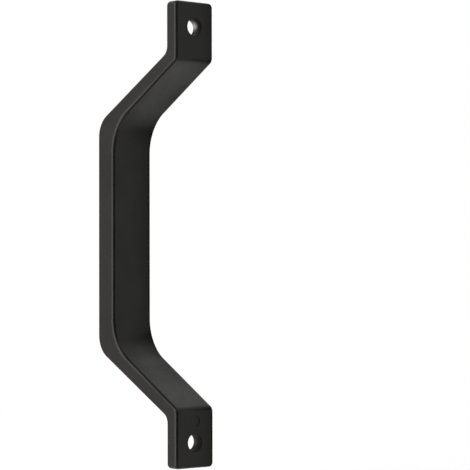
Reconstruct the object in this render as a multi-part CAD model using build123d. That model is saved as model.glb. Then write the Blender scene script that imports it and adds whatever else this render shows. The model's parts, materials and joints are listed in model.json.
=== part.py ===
from build123d import *
from math import radians, tan
import os

# Barn door pull handle: one cast metal bar, bent away from the door.
# Two short tabs lie flat against the door and take a countersunk screw each.
# Two slanted arms carry a thicker straight grip, and the fingers pass behind it.
# Frame: the origin lies on the door's surface, midway between the two screw holes.
# +Z runs up along the handle, +Y points into the door, +X runs across the width.

# Lengths along the door, in millimetres
# The grip is measured on its inner side, between the corners before they are rounded
hole_spacing = 160.0
grip_length = 86.8

# Depths measured away from the door
tab_thickness = 6.2
finger_depth = 39.8
grip_thickness = 10.2
arm_thickness_at_tab = 6.0
arm_thickness_at_grip = 6.8

# Widths across the handle
tab_width = 18.5
grip_width = 19.0

# Roundings of the bends, seen from the side
tab_bend_back = 2.8
tab_bend_front = 4.0
grip_bend_inside = 18.3
grip_bend_outside = 10.0

# Roundings of the outline and of the edges
tab_corner = 1.8
flare_bend = 400.0
edge_rounding = 1.2

# Screw holes, cut for flat head screws
hole_diameter = 6.6
hole_rim_rounding = 0.5
screw_head_diameter = 9.0
screw_head_angle = 90.0

# Room left along the tab, from the cut for the screw head to the end and to the arm's root
screw_head_to_end = 5.3
screw_head_to_arm = 8.55

# Round mark that an ejector pin leaves on the back of the lower tab
pin_mark_diameter = 4.6
pin_mark_depth = 0.18
pin_mark_wall = 0.45
pin_mark_to_arm = 2.4

# Lengths that follow: end to end, and between the arm roots on the back before rounding
handle_length = hole_spacing + screw_head_diameter + 2 * screw_head_to_end
opening_length = hole_spacing - screw_head_diameter - 2 * screw_head_to_arm

# Two sizes that differ by less than this count as the same
fine = 0.001


def height_on_line(start, end, depth):
    """Height at which a straight line in the side view reaches a depth."""
    share = (depth - start.X) / (end.X - start.X)
    return start.Y + share * (end.Y - start.Y)


def mirrored(points):
    """The upper half's points, followed by the same points on the lower half."""
    return points + [(depth, -height) for depth, height in reversed(points)]


def side_profile():
    """Side view of the bar: first value is the depth along Y, second is the height."""
    end_height = handle_length / 2
    grip_front = finger_depth + grip_thickness
    arm_root = Vector(0, opening_length / 2)
    arm_tip = Vector(-finger_depth, grip_length / 2)
    run = (arm_tip - arm_root).normalized()
    outward = Vector(run.Y, -run.X)
    front_root = arm_root + outward * arm_thickness_at_tab
    front_tip = arm_tip + outward * arm_thickness_at_grip

    back = mirrored([(0, end_height), (0, arm_root.Y), (arm_tip.X, arm_tip.Y)])
    front = mirrored(
        [
            (-tab_thickness, end_height),
            (-tab_thickness, height_on_line(front_root, front_tip, -tab_thickness)),
            (-grip_front, height_on_line(front_root, front_tip, -grip_front)),
        ]
    )
    back_bends = [tab_bend_back, grip_bend_inside, grip_bend_inside, tab_bend_back]
    front_bends = [tab_bend_front, grip_bend_outside, grip_bend_outside, tab_bend_front]
    edges = [
        *FilletPolyline(*back, radius=back_bends).edges(),
        *FilletPolyline(*front, radius=front_bends).edges(),
        Line(back[0], front[0]),
        Line(back[-1], front[-1]),
    ]
    return Plane.YZ * make_face(edges)


def front_outline():
    """Front view of the bar: the width grows a little along the arms to the grip."""
    half_tab = tab_width / 2
    half_grip = grip_width / 2
    right = mirrored(
        [
            (half_tab, handle_length / 2),
            (half_tab, opening_length / 2),
            (half_grip, grip_length / 2),
        ]
    )
    left = [(-across, height) for across, height in reversed(right)]
    half_bends = [tab_corner, flare_bend, flare_bend]
    bends = [*half_bends, *reversed(half_bends)] * 2
    outline = FilletPolyline(*right, *left, radius=bends, close=True)
    return Plane.XZ * make_face(outline.edges())


def is_outer_edge(edge):
    """Edges to round: all but the seams where a flat runs smoothly into a bend."""
    direction = edge.tangent_at(0.5)
    across = abs(direction.X) > 1 - fine
    into_door = abs(direction.Y) > 1 - fine
    at_end = handle_length / 2 - abs(edge.center().Z) < fine
    return (across and at_end) or not (across or into_door)


def bar():
    """The bent bar with its long edges and its ends rounded."""
    widest = max(tab_width, grip_width)
    deepest = finger_depth + grip_thickness
    side = extrude(side_profile(), amount=widest, both=True)
    front = extrude(front_outline(), amount=2 * deepest, both=True)
    solid = side & front
    return fillet(solid.edges().filter_by(is_outer_edge), edge_rounding)


def turned_cutter(section, height):
    """Cutter turned about the depth axis: section points are (radius, depth)."""
    outline = Polyline((0, section[0][1]), *section, (0, section[-1][1]), close=True)
    return Pos(0, 0, height) * revolve(make_face(outline.edges()), Axis.Y)


def screw_hole(height):
    """One screw's hole: a round bore from the back, and a cone for the head in front."""
    bore = hole_diameter / 2
    head = screw_head_diameter / 2
    cone_depth = (head - bore) / tan(radians(screw_head_angle / 2))
    section = [
        (bore, tab_thickness),
        (bore, cone_depth - tab_thickness),
        (head, -tab_thickness),
        (head, -2 * tab_thickness),
    ]
    return turned_cutter(section, height)


def pin_mark():
    """The shallow round mark between the lower hole and the bend, on the back."""
    radius = pin_mark_diameter / 2
    section = [
        (radius, pin_mark_depth),
        (radius, 0),
        (radius - pin_mark_wall, -pin_mark_depth),
    ]
    return turned_cutter(section, -opening_length / 2 - pin_mark_to_arm - radius)


def is_rim(edge, radius, depth):
    """Whether a circle has this radius and lies at this depth."""
    return abs(edge.radius - radius) < fine and abs(edge.arc_center.Y - depth) < fine


def hole_rims(solid):
    """The circles where the screw holes meet the two broad faces of the tabs."""
    circles = solid.edges().filter_by(GeomType.CIRCLE)
    back = circles.filter_by(lambda rim: is_rim(rim, hole_diameter / 2, 0))
    front = circles.filter_by(lambda rim: is_rim(rim, screw_head_diameter / 2, -tab_thickness))
    return back + front


def pull_handle():
    """The whole handle, one solid."""
    solid = bar() - screw_hole(hole_spacing / 2) - screw_hole(-hole_spacing / 2)
    solid = fillet(hole_rims(solid), hole_rim_rounding)
    return solid - pin_mark()


os.makedirs("parts", exist_ok=True)
export_step(pull_handle(), "parts/pull_handle.step")
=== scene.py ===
# %% [markdown]
# A barn door pull handle: one cast bar with a satin black coating. The bar itself comes from
# the CAD model, so this lesson is about everything that makes such a plain thing look real: a
# camera at the photograph's viewing angle, soft studio light that draws the edges, and a
# black finish that is never just black.
#
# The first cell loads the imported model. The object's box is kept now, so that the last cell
# can show that the finish didn't change its size. The record tells how far apart the screw
# holes are and how wide, and the finish goes by those sizes.

# %% Load the handle
import json
from math import cos, pi, radians, sin, tan

import bpy
import bmesh
from mathutils import Matrix, Vector


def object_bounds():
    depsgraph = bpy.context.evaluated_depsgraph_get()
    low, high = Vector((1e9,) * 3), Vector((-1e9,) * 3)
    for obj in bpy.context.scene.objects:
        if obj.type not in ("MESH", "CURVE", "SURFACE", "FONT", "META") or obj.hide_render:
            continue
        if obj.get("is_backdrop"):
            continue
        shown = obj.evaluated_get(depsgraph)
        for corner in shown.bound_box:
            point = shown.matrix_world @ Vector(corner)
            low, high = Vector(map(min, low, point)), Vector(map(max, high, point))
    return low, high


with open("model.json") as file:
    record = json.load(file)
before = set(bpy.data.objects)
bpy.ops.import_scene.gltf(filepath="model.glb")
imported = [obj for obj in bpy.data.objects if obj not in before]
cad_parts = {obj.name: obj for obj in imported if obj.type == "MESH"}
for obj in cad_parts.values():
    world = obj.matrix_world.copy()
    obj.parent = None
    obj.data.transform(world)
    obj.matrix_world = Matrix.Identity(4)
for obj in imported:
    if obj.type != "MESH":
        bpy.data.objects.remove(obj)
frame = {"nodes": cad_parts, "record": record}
cad_low, cad_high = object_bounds()
handle = frame["nodes"]["pull_handle"]
mounts = {mount["name"]: mount for mount in frame["record"]["mounts"]}
hole_sizes = mounts["screw_holes"]["dims"]
hole_height = hole_sizes["spacing_y_mm"] / 2 / 1000
bore_radius = hole_sizes["hole_r_mm"] / 1000
scene = bpy.context.scene
print("handle size in mm:", [round(side * 1000, 1) for side in cad_high - cad_low])
print("screw holes", hole_height, "m above and below the middle, radius", bore_radius, "m")

# %% [markdown]
# The photograph looks at the back of the handle, the side that goes against the door, from
# forty degrees to one side and almost level. The grip bends away from us. A long lens a good
# arm's length away gives the same weak perspective. A camera can be placed by eye, with a
# constraint that tracks a target, or by an angle and a distance. Angles are used here,
# because they can be read back and corrected one by one.
#
# The picture isn't centred on the handle: the handle stands left of the middle. So the camera
# keeps its direction and slides sideways, as on a rail. A lens shift would do the same to the
# picture, but it would stay on when the camera is moved to other views.

# %% Camera
image_side = 470
lens_in_pixels = 2000
sensor_width = 36.0
view_turn = radians(40.2287)
view_tilt = radians(-1.215)
view_roll = radians(-0.1073)
view_distance = 0.76943
slide_right = 0.01541
slide_up = -0.000255
up_axis = Vector((0, 0, 1))


def view_axes(turn, tilt, roll):
    """Unit vectors to the camera's right, upwards, and from the handle to the camera."""
    level = Matrix.Rotation(-turn, 3, up_axis) @ Vector((0, 1, 0))
    right = up_axis.cross(level).normalized()
    towards = Matrix.Rotation(-tilt, 3, right) @ level
    spin = Matrix.Rotation(roll, 3, towards)
    return spin @ right, spin @ towards.cross(right), towards


right, up, towards = view_axes(view_turn, view_tilt, view_roll)
camera_data = bpy.data.cameras.new("camera")
camera_data.sensor_width = sensor_width
camera_data.lens = lens_in_pixels * sensor_width / image_side
camera = bpy.data.objects.new("camera", camera_data)
camera.matrix_world = Matrix((right, up, towards)).transposed().to_4x4()
camera.location = towards * view_distance + right * slide_right + up * slide_up
scene.collection.objects.link(camera)
scene.camera = camera
scene.view_settings.view_transform = "Standard"
camera_place = [round(value, 4) for value in camera.location]
print("camera at", camera_place, "with a lens of", round(camera_data.lens, 2), "mm")

# %% [markdown]
# A material is a small network of nodes. It could be clicked together in the node editor, but
# in a script every value has a name and can be found again. The helpers below serve all the
# materials of this lesson: one adds a node and sets its sockets and options, one wires two
# sockets, and one starts a new material. Socket names are what the editor shows, so the cells
# can be followed there. Where several sockets of a node share a name, a number picks one.

# %% Helpers for nodes
def add_node(tree, kind, sockets=None, **options):
    """A new node with its options set, and its input sockets filled by name or number."""
    node = tree.nodes.new(kind)
    for name, value in options.items():
        setattr(node, name, value)
    for name, value in (sockets or {}).items():
        node.inputs[name].default_value = value
    return node


def wire(tree, source, target):
    """Joins an output socket to an input socket."""
    tree.links.new(source, target)


def empty_material(name):
    """A material with an empty node tree and its output node."""
    material = bpy.data.materials.new(name)
    material.use_nodes = True
    material.node_tree.nodes.clear()
    output = add_node(material.node_tree, "ShaderNodeOutputMaterial")
    return material, material.node_tree, output


print("helpers for nodes are ready")

# %% [markdown]
# The studio is a white room. A black coating shows almost nothing of its own colour: what the
# eye sees is the room, mirrored softly in the gloss. So the world is plain white to the
# camera and to reflections. To the matt share of a surface it is a little weaker, because the
# lamp below adds its own light, and together they should bring a white card to about white.
#
# A picture of a real studio could serve as the world, but it would bring lamps and windows of
# its own. With a plain white room, everything that shows in the gloss is put there on
# purpose.
#
# The Light Path node tells which kind of ray asks. The three kinds that see the room as a
# picture are added up and clamped, and that number picks between the two strengths.

# %% World
room_white = (1, 1, 1, 1)
room_strength_seen = 1.0
room_strength_diffuse = 0.9
seeing_rays = ("Is Camera Ray", "Is Glossy Ray", "Is Transmission Ray")


def any_of_rays(tree, names):
    """A socket that is 1 for the named kinds of ray, and 0 for all others."""
    path = add_node(tree, "ShaderNodeLightPath")
    total = path.outputs[names[0]]
    for name in names[1:]:
        add = add_node(tree, "ShaderNodeMath", operation="ADD", use_clamp=True)
        wire(tree, total, add.inputs[0])
        wire(tree, path.outputs[name], add.inputs[1])
        total = add.outputs["Value"]
    return total


world = bpy.data.worlds.new("studio")
scene.world = world
world.use_nodes = True
world_tree = world.node_tree
background = world_tree.nodes["Background"]
background.inputs["Color"].default_value = room_white
strengths = {"A": room_strength_diffuse, "B": room_strength_seen}
pick_strength = add_node(world_tree, "ShaderNodeMix", strengths)
wire(world_tree, any_of_rays(world_tree, seeing_rays), pick_strength.inputs["Factor"])
wire(world_tree, pick_strength.outputs["Result"], background.inputs["Strength"])
print("room strength:", room_strength_seen, "seen,", room_strength_diffuse, "on matt surfaces")

# %% [markdown]
# Light and dark panels stand round the handle like furniture. Each has an azimuth, counted
# from the camera's side and growing to the camera's right, and an elevation. A panel spans an
# angle, so its real width follows from its distance. Plain coordinates would do too, but what
# counts in a reflection is the direction, and an angle says just that.

# %% Places round the handle
panel_distance = 1.1
level_towards = Vector((towards.x, towards.y, 0)).normalized()
level_right = up_axis.cross(level_towards)


def direction(azimuth, elevation=0.0):
    """Unit vector from the handle towards an azimuth and an elevation, both in degrees."""
    level = level_towards * cos(radians(azimuth)) + level_right * sin(radians(azimuth))
    return level * cos(radians(elevation)) + up_axis * sin(radians(elevation))


def panel_matrix(azimuth, elevation=0.0):
    """Place and turn of a panel whose +Z side looks at the handle."""
    outwards = direction(azimuth, elevation)
    turn = outwards.to_track_quat("-Z", "Y").to_matrix().to_4x4()
    return Matrix.Translation(outwards * panel_distance) @ turn


def spanned(angle):
    """Width of a panel that spans an angle, in degrees, as seen from the handle."""
    return 2 * panel_distance * tan(radians(angle / 2))


print("panels stand", panel_distance, "m away, ten degrees are", round(spanned(10), 3), "m wide")

# %% [markdown]
# One tall softbox stands to the left. It lights the handle's near side, and in the rounded
# edges it draws the thin bright line that runs down the whole bar. A glowing plane could
# stand there, but an area lamp is the same thing with less noise. Its power is worked out
# from the brightness that its front should have: power is brightness times area times pi. The
# camera doesn't see the lamp itself.

# %% Softbox
def softbox(name, azimuth, width_angle, height_angle, brightness):
    """An area lamp that looks at the handle."""
    lamp = bpy.data.lights.new(name, "AREA")
    lamp.shape = "RECTANGLE"
    lamp.size = spanned(width_angle)
    lamp.size_y = spanned(height_angle)
    lamp.energy = brightness * lamp.size * lamp.size_y * pi
    holder = bpy.data.objects.new(name, lamp)
    lamp_turn = Matrix.Rotation(pi, 4, "Y")
    holder.matrix_world = panel_matrix(azimuth) @ lamp_turn
    holder.visible_camera = False
    scene.collection.objects.link(holder)
    print(name, round(lamp.size, 2), "x", round(lamp.size_y, 2), "m,", round(lamp.energy, 1), "W")


softbox("left_softbox", azimuth=-64, width_angle=40, height_angle=86, brightness=3.4)

# %% [markdown]
# Black flags do the opposite: they give the gloss something dark to mirror. A flat plane
# would do, but its ends would be farther away than its middle. So a tall flag is a post that
# is spun round the handle, which keeps it equally far away on both sides, and a round flag is
# a disc. Both only show in reflections: they hide nothing from the camera and cast no shadow.

# %% Flags: how they are made
flag_steps = 16
disc_sides = 48


def matt_material(name, colour):
    """A material of one colour without any gloss."""
    material, tree, output = empty_material(name)
    shader = add_node(tree, "ShaderNodeBsdfDiffuse", {"Color": colour})
    wire(tree, shader.outputs["BSDF"], output.inputs["Surface"])
    return material


def mesh_object(name, bm, material):
    """Turns a finished bmesh into an object with one material."""
    mesh = bpy.data.meshes.new(name)
    bm.to_mesh(mesh)
    bm.free()
    mesh.materials.append(material)
    made = bpy.data.objects.new(name, mesh)
    scene.collection.objects.link(made)
    return made


def only_in_reflections(made):
    """Makes an object part of the studio that only glossy surfaces see."""
    made.visible_camera = False
    made.visible_diffuse = False
    made.visible_shadow = False
    made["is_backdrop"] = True


def flag(name, material, first_azimuth, last_azimuth, reach):
    """A curved screen; reach is its elevation, in degrees."""
    bm = bmesh.new()
    foot = direction(first_azimuth) * panel_distance
    rise = up_axis * panel_distance * tan(radians(reach))
    ends = [bm.verts.new(foot - rise), bm.verts.new(foot + rise)]
    post = [*ends, bm.edges.new(ends)]
    turn = radians(last_azimuth - first_azimuth)
    bmesh.ops.spin(bm, geom=post, cent=(0, 0, 0), axis=up_axis, angle=turn, steps=flag_steps)
    only_in_reflections(mesh_object(name, bm, material))
    print(name, "from", first_azimuth, "to", last_azimuth, "degrees")


def round_flag(name, material, azimuth, elevation, angle):
    """A flat disc that spans an angle, in degrees."""
    bm = bmesh.new()
    radius = spanned(angle) / 2
    turned = panel_matrix(azimuth, elevation)
    bmesh.ops.create_circle(bm, cap_ends=True, segments=disc_sides, radius=radius, matrix=turned)
    only_in_reflections(mesh_object(name, bm, material))
    print(name, round(2 * radius, 2), "m across")


# %% [markdown]
# One large flag stands where the camera is and draws the dark line beside each bright edge. A
# second one, to the right and behind, keeps the arms from going grey and lets each flat back
# fade to its far side. Two round ones, high above and deep below, do for the slanted arms
# what the large one does for the rest: they draw the dark line beside the bright edge.
#
# The card at the left rear isn't black but brown. In the photograph the narrow side of the
# bar is a little warmer than its back, as if something wooden stood there. The card takes
# some glare off that side and leaves the warm tint.

# %% Flags: where they stand
black = matt_material("flag_black", (0, 0, 0, 1))
brown = matt_material("card_brown", (0.25, 0.17, 0.08, 1))
round_azimuth = -70
round_elevation = 74
round_angle = 38
flag("camera_flag", black, first_azimuth=-31, last_azimuth=41, reach=46)
flag("right_flag", black, first_azimuth=91, last_azimuth=163, reach=42)
flag("rear_card", brown, first_azimuth=-150, last_azimuth=-111, reach=20)
round_flag("upper_flag", black, round_azimuth, round_elevation, round_angle)
round_flag("lower_flag", black, round_azimuth, -round_elevation, round_angle)

# %% [markdown]
# The handle hangs upright in front of the camera, as it would on a door. The floor lies a
# centimetre below it and carries its soft shadow, which shows from above. To the eye the
# floor should be as white as the room: its paint returns most of the light, and a small share
# of glow makes up the rest. A floor that only glows would be white too, but it would swallow
# the shadow. The glow is only for rays that see, so that it lights nothing itself.

# %% Floor: paint
floor_paint = (0.86, 0.86, 0.86, 1)
floor_glow = 0.12
floor_material, floor_tree, floor_output = empty_material("pale_floor")
seen = any_of_rays(floor_tree, seeing_rays)
paint = add_node(floor_tree, "ShaderNodeBsdfDiffuse", {"Color": floor_paint})
glow_strength = add_node(floor_tree, "ShaderNodeMath", {1: floor_glow}, operation="MULTIPLY")
glow = add_node(floor_tree, "ShaderNodeEmission", {"Color": room_white})
painted = add_node(floor_tree, "ShaderNodeAddShader")
wire(floor_tree, seen, glow_strength.inputs[0])
wire(floor_tree, glow_strength.outputs["Value"], glow.inputs["Strength"])
wire(floor_tree, paint.outputs["BSDF"], painted.inputs[0])
wire(floor_tree, glow.outputs["Emission"], painted.inputs[1])
print("paint returns", floor_paint[0], "of the light, and the glow adds", floor_glow)

# %% [markdown]
# Far from the handle the lamp's light falls off, and the paint would go grey. It could be lit
# by more lamps, but they would show in the gloss. So the paint gives way to the plain white
# of the room, smoothly between two distances from the handle, and no horizon shows.

# %% Floor: white far away
painted_reach = 0.15
white_from = 0.5
floor_place = add_node(floor_tree, "ShaderNodeTexCoord")
distance = add_node(floor_tree, "ShaderNodeVectorMath", operation="LENGTH")
far = add_node(floor_tree, "ShaderNodeMapRange", interpolation_type="SMOOTHSTEP")
far.inputs["From Min"].default_value = painted_reach
far.inputs["From Max"].default_value = white_from
far_white = add_node(floor_tree, "ShaderNodeEmission", {"Color": room_white})
pick_far = add_node(floor_tree, "ShaderNodeMixShader")
wire(floor_tree, floor_place.outputs["Object"], distance.inputs[0])
wire(floor_tree, distance.outputs["Value"], far.inputs["Value"])
wire(floor_tree, seen, far_white.inputs["Strength"])
wire(floor_tree, far.outputs["Result"], pick_far.inputs["Fac"])
wire(floor_tree, painted.outputs["Shader"], pick_far.inputs[1])
wire(floor_tree, far_white.outputs["Emission"], pick_far.inputs[2])
print("floor is painted up to", painted_reach, "m and plain white from", white_from, "m")

# %% [markdown]
# Seen from below, the floor should be clear, so that the handle can be looked at from there
# too. The Geometry node knows which side of a face is seen, and picks between the two
# shaders.
#
# The disc is wide, so that its rim lies far behind the picture. A plane would do as well, but
# a round rim is equally far away on all sides, whatever the view. It is left out of the
# handle's reflections, where the white room does the same job.

# %% Floor: disc, clear from below
floor_gap = 0.0102
floor_radius = 8.0
floor_sides = 128
facing = add_node(floor_tree, "ShaderNodeNewGeometry")
clear = add_node(floor_tree, "ShaderNodeBsdfTransparent")
pick_side = add_node(floor_tree, "ShaderNodeMixShader")
wire(floor_tree, facing.outputs["Backfacing"], pick_side.inputs["Fac"])
wire(floor_tree, pick_far.outputs["Shader"], pick_side.inputs[1])
wire(floor_tree, clear.outputs["BSDF"], pick_side.inputs[2])
wire(floor_tree, pick_side.outputs["Shader"], floor_output.inputs["Surface"])

bm = bmesh.new()
bmesh.ops.create_circle(bm, cap_ends=True, segments=floor_sides, radius=floor_radius)
bmesh.ops.translate(bm, vec=Vector((0, 0, cad_low.z - floor_gap)), verts=bm.verts)
floor = mesh_object("floor", bm, floor_material)
floor.visible_glossy = False
floor.visible_shadow = False
floor.visible_diffuse = False
floor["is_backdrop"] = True
print("floor", round(floor_gap * 1000), "mm below the handle")

# %% [markdown]
# Now the coating. On the real handle it is a satin black coat on cast metal, thin enough to
# follow the casting and smooth enough to flow the light along the bends. It could be a base
# colour and one roughness, but then the bar looks like plastic. What makes it metal under
# paint is small: the reflections bend a little across each face, the coat has a fine orange
# peel, and its gloss is a little uneven.
#
# All patterns read Object coordinates, in metres, so they stay in place on the metal.

# %% Coating: shader and coordinates
coat_ior = 1.33
warm_gloss = (1, 0.995, 0.92, 1)
coating, coat_tree, coat_output = empty_material("black_coating")
coat = add_node(coat_tree, "ShaderNodeBsdfPrincipled")
coat.inputs["IOR"].default_value = coat_ior
coat.inputs["Specular Tint"].default_value = warm_gloss
wire(coat_tree, coat.outputs["BSDF"], coat_output.inputs["Surface"])
place = add_node(coat_tree, "ShaderNodeTexCoord")
place_parts = add_node(coat_tree, "ShaderNodeSeparateXYZ")
wire(coat_tree, place.outputs["Object"], place_parts.inputs["Vector"])
across, inwards, height = place_parts.outputs
mirrored_share = ((coat_ior - 1) / (coat_ior + 1)) ** 2
print("seen straight on, the coat mirrors", round(mirrored_share * 100, 1), "percent of the room")

# %% [markdown]
# The patterns are built from three kinds of step. One is a noise, whose scale is the number
# of waves in a metre, so it is worked out from the length of a wave. One is plain arithmetic.
# And one fades from 1 to 0 between two values, which gives every border on the coat a soft
# edge. The last helper measures how far a point is from a line through the bar, such as the
# axis of a screw hole.

# %% Coating: helpers for patterns
def coat_noise(wave_length, detail):
    """A noise socket between 0 and 1, with waves of about a length, in metres."""
    sockets = {"Scale": 1 / wave_length, "Detail": detail}
    noise = add_node(coat_tree, "ShaderNodeTexNoise", sockets)
    wire(coat_tree, place.outputs["Object"], noise.inputs["Vector"])
    return noise.outputs["Fac"]


def coat_math(operation, *values):
    """A Math node on one or two values, each a socket or a number."""
    node = add_node(coat_tree, "ShaderNodeMath", operation=operation)
    for number, value in enumerate(values):
        if isinstance(value, (int, float)):
            node.inputs[number].default_value = value
        else:
            wire(coat_tree, value, node.inputs[number])
    return node.outputs["Value"]


def span(value, sockets, **options):
    """Turns one range of values into another, with a Map Range node."""
    node = add_node(coat_tree, "ShaderNodeMapRange", sockets, **options)
    wire(coat_tree, value, node.inputs["Value"])
    return node.outputs["Result"]


def fade(value, start, end):
    """1 up to the start, 0 from the end on, and smooth between them."""
    sockets = {"From Min": start, "From Max": end, "To Min": 1.0, "To Max": 0.0}
    return span(value, sockets, interpolation_type="SMOOTHSTEP")


def off_axis(height_here, height_of_axis):
    """Distance from a line that runs through the bar from back to front."""
    above = coat_math("SUBTRACT", height_here, height_of_axis)
    squares = [coat_math("MULTIPLY", side, side) for side in (across, above)]
    return coat_math("SQRT", coat_math("ADD", *squares))


from_middle = coat_math("ABSOLUTE", height)
print("helpers for patterns are ready")

# %% [markdown]
# Two places aren't like the rest. Inside the screw holes the spray hardly reaches, so the
# coat is dull there. And in each hole a painted highlight sits at the far end of one wall: a
# soft patch of bright metal that shines as a glint, full in the upper hole, faint in the lower.
#
# Such places could be painted on by hand, but a painting needs a picture file. Here they are
# worked out from distances. A glint patch is a soft blob: the Mapping node moves its centre
# to zero and divides by its size, so that the distance from zero is 1 at its rim.

# %% Coating: places inside the screw holes
dull_margin = 0.00015
dull_fade = 0.0003
# The size, places and strengths below are those of a painted highlight, a glint in each hole.
glint_size = (0.004, 0.0026, 0.003)
upper_glint_depth = 0.0039
lower_glint_depth = 0.0043
upper_glint_above_axis = 0.0012
lower_glint_below_axis = 0.0002
upper_glint = 1.0
lower_glint = 0.08


def painted_glint(depth, height_of_centre, strength):
    """Share of the painted glint, as bright metal, round a point on the -X wall of a hole."""
    centre = (-bore_radius, -depth, height_of_centre)
    blob = add_node(coat_tree, "ShaderNodeMapping")
    shift = [-middle / size for middle, size in zip(centre, glint_size)]
    blob.inputs["Location"].default_value = shift
    blob.inputs["Scale"].default_value = [1 / size for size in glint_size]
    reach = add_node(coat_tree, "ShaderNodeVectorMath", operation="LENGTH")
    wire(coat_tree, place.outputs["Object"], blob.inputs["Vector"])
    wire(coat_tree, blob.outputs["Vector"], reach.inputs[0])
    return coat_math("MULTIPLY", fade(reach.outputs["Value"], 0.0, 1.0), strength)


dull_radius = bore_radius + dull_margin
in_bore = fade(off_axis(from_middle, hole_height), dull_radius, dull_radius + dull_fade)
# Painted glint: bright metal in full in the upper hole, and only a trace of it in the lower.
upper_glint_patch = painted_glint(upper_glint_depth, hole_height + upper_glint_above_axis, upper_glint)
lower_glint_patch = painted_glint(lower_glint_depth, -hole_height - lower_glint_below_axis, lower_glint)
glint_patch = coat_math("ADD", upper_glint_patch, lower_glint_patch)
print("dull up to", round(dull_radius * 1000, 2), "mm from each hole's axis")

# %% [markdown]
# The black itself. A satin black coat sends back less than one percent of the light by its
# own colour, and never evenly: here and there it is a touch lighter and warmer. One flat
# black would look printed. So a slow noise picks between two near blacks. Where the painted
# glint sits in the holes, the colour turns to that of bright metal, and the same value makes
# the surface metallic there, so that it shines as a highlight. The Mix node keeps its colour
# sockets behind those for numbers and vectors, so they go by number.

# %% Coating: colour
near_black = (0.0034, 0.0033, 0.003, 1)
warm_black = (0.0058, 0.0055, 0.0048, 1)
# Colour of the bright metal that makes the painted glint.
glint_metal = (0.47, 0.44, 0.41, 1)
colour_wave = 0.012
colour_detail = 4.0
colour_stops = ((0.35, near_black), (0.65, warm_black))
first_colour, second_colour, mixed_colour = 6, 7, 2

colour_ramp = add_node(coat_tree, "ShaderNodeValToRGB")
for stop, (position, colour) in zip(colour_ramp.color_ramp.elements, colour_stops):
    stop.position = position
    stop.color = colour
show_glint = add_node(coat_tree, "ShaderNodeMix", data_type="RGBA")
show_glint.inputs[second_colour].default_value = glint_metal
wire(coat_tree, coat_noise(colour_wave, colour_detail), colour_ramp.inputs["Fac"])
# The painted glint mixes in the bright metal and makes the surface metallic there.
wire(coat_tree, glint_patch, show_glint.inputs["Factor"])
wire(coat_tree, colour_ramp.outputs["Color"], show_glint.inputs[first_colour])
wire(coat_tree, show_glint.outputs[mixed_colour], coat.inputs["Base Color"])
wire(coat_tree, glint_patch, coat.inputs["Metallic"])
print("coat colour from", near_black[:3], "to", warm_black[:3])

# %% [markdown]
# Satin means that the coat mirrors the room, but only as soft areas of light and dark. One
# roughness all over would look like plastic, so a faster noise moves it up and down a little.
# The noise is mostly between 0.3 and 0.7, so that range is stretched to the two roughnesses.
# Inside the holes it goes up by a fixed amount, because the thin spray dries dull there.

# %% Coating: gloss
roughness_lowest = 0.285
roughness_highest = 0.385
roughness_in_bore = 0.3
gloss_wave = 0.006
gloss_detail = 3.0
usual_noise = {"From Min": 0.3, "From Max": 0.7}
roughness_range = {"To Min": roughness_lowest, "To Max": roughness_highest}

gloss = span(coat_noise(gloss_wave, gloss_detail), usual_noise | roughness_range)
bore_roughness = coat_math("MULTIPLY", in_bore, roughness_in_bore)
wire(coat_tree, coat_math("ADD", gloss, bore_roughness), coat.inputs["Roughness"])
print("roughness from", roughness_lowest, "to", roughness_highest, "outside the holes")

# %% [markdown]
# The lower tab's back has a faint round mark, as an ejector pin leaves it. The CAD model has
# it as a shallow recess. In the photograph only the right side of the mark is dark, as if it
# stood out a little instead. A thin disc could be set on the tab, but this face lies on the
# door, and nothing may stand out from it. So the relief fills the recess and lifts it by
# about another tenth of a millimetre, in the shading alone. That turns the dark side round.

# %% Coating: round mark on the lower tab
mark_above_hole = 0.00835
mark_top_radius = 0.00175
mark_foot_radius = 0.0024
recess_depth = 0.00018
mark_lift = 0.00014
back_skin = 0.001

mark_rise = recess_depth + mark_lift
below_back = coat_math("MULTIPLY", inwards, -1.0)
on_back = fade(below_back, back_skin, 2 * back_skin)
from_mark = off_axis(height, mark_above_hole - hole_height)
mark_disc = fade(from_mark, mark_top_radius, mark_foot_radius)
mark = coat_math("MULTIPLY", coat_math("MULTIPLY", mark_disc, on_back), mark_rise)
print("round mark", round(mark_foot_radius * 2000, 1), "mm wide")
print("it is raised by", round(mark_rise * 1000, 2), "mm from the recess")

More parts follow.
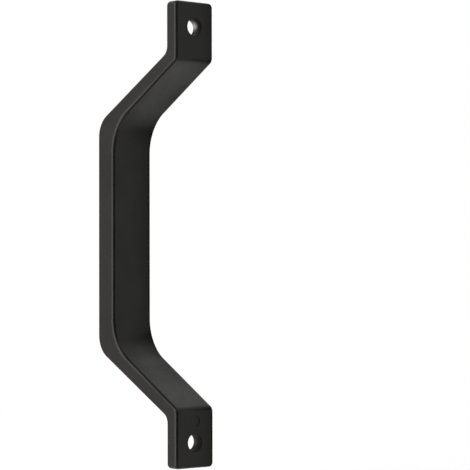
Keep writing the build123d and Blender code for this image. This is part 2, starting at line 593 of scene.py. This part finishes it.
# %% [markdown]
# The relief is a bump, and its height is in metres. Real waves would need a much finer mesh,
# and the CAD mesh stays as it is. The casting waves by a few hundredths of a millimetre and
# the orange peel by a few thousandths, as on real coated metal.
#
# The two large ones, a crown over the width and a hollow along each arm, aren't real forms.
# They bend the reflections the way the photograph shows them, and say nothing about the
# metal: the bar's outline in the photograph is straighter than that. The hollow is one wave
# of a cosine, between two heights above the middle and again below it.

# %% Coating: relief
crown_radius = 0.082
hollow_start = 0.045
hollow_end = 0.069
hollow_depth = 0.00068
casting_wave = 0.022
casting_detail = 1.0
casting_height = 0.00003
peel_wave = 0.0014
peel_detail = 2.0
peel_height = 0.000004

crown = coat_math("MULTIPLY", coat_math("MULTIPLY", across, across), -0.5 / crown_radius)
one_wave = {"From Min": hollow_start, "From Max": hollow_end, "To Min": -pi, "To Max": pi}
hollow_shape = coat_math("ADD", coat_math("COSINE", span(from_middle, one_wave)), 1.0)
hollow = coat_math("MULTIPLY", hollow_shape, -hollow_depth / 2)
casting = coat_math("MULTIPLY", coat_noise(casting_wave, casting_detail), casting_height)
peel = coat_math("MULTIPLY", coat_noise(peel_wave, peel_detail), peel_height)
bends = coat_math("ADD", crown, hollow)
details = coat_math("ADD", coat_math("ADD", casting, peel), mark)
bump = add_node(coat_tree, "ShaderNodeBump", {"Strength": 1.0, "Distance": 1.0})
wire(coat_tree, coat_math("ADD", bends, details), bump.inputs["Height"])
wire(coat_tree, bump.outputs["Normal"], coat.inputs["Normal"])
crown_height = cad_high.x ** 2 / (2 * crown_radius)
print("crown", round(crown_height * 1000, 2), "mm high")
print("hollow", round(hollow_depth * 1000, 2), "mm deep")

# %% [markdown]
# The finished material takes the place of the plain one that came with the CAD model. The
# mesh isn't touched.

# %% Coating: on the handle
handle.data.materials.clear()
handle.data.materials.append(coating)
print("coating nodes:", len(coat_tree.nodes))

# %% [markdown]
# Last, the box of the finished handle is measured once more and kept beside the first one. A
# finish should not change the size, so both have to be the same.

# %% Size and finish
low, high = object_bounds()
growth = (high - low) - (cad_high - cad_low)
print("the finish changed the size by", [round(side * 1000, 3) for side in growth], "mm")
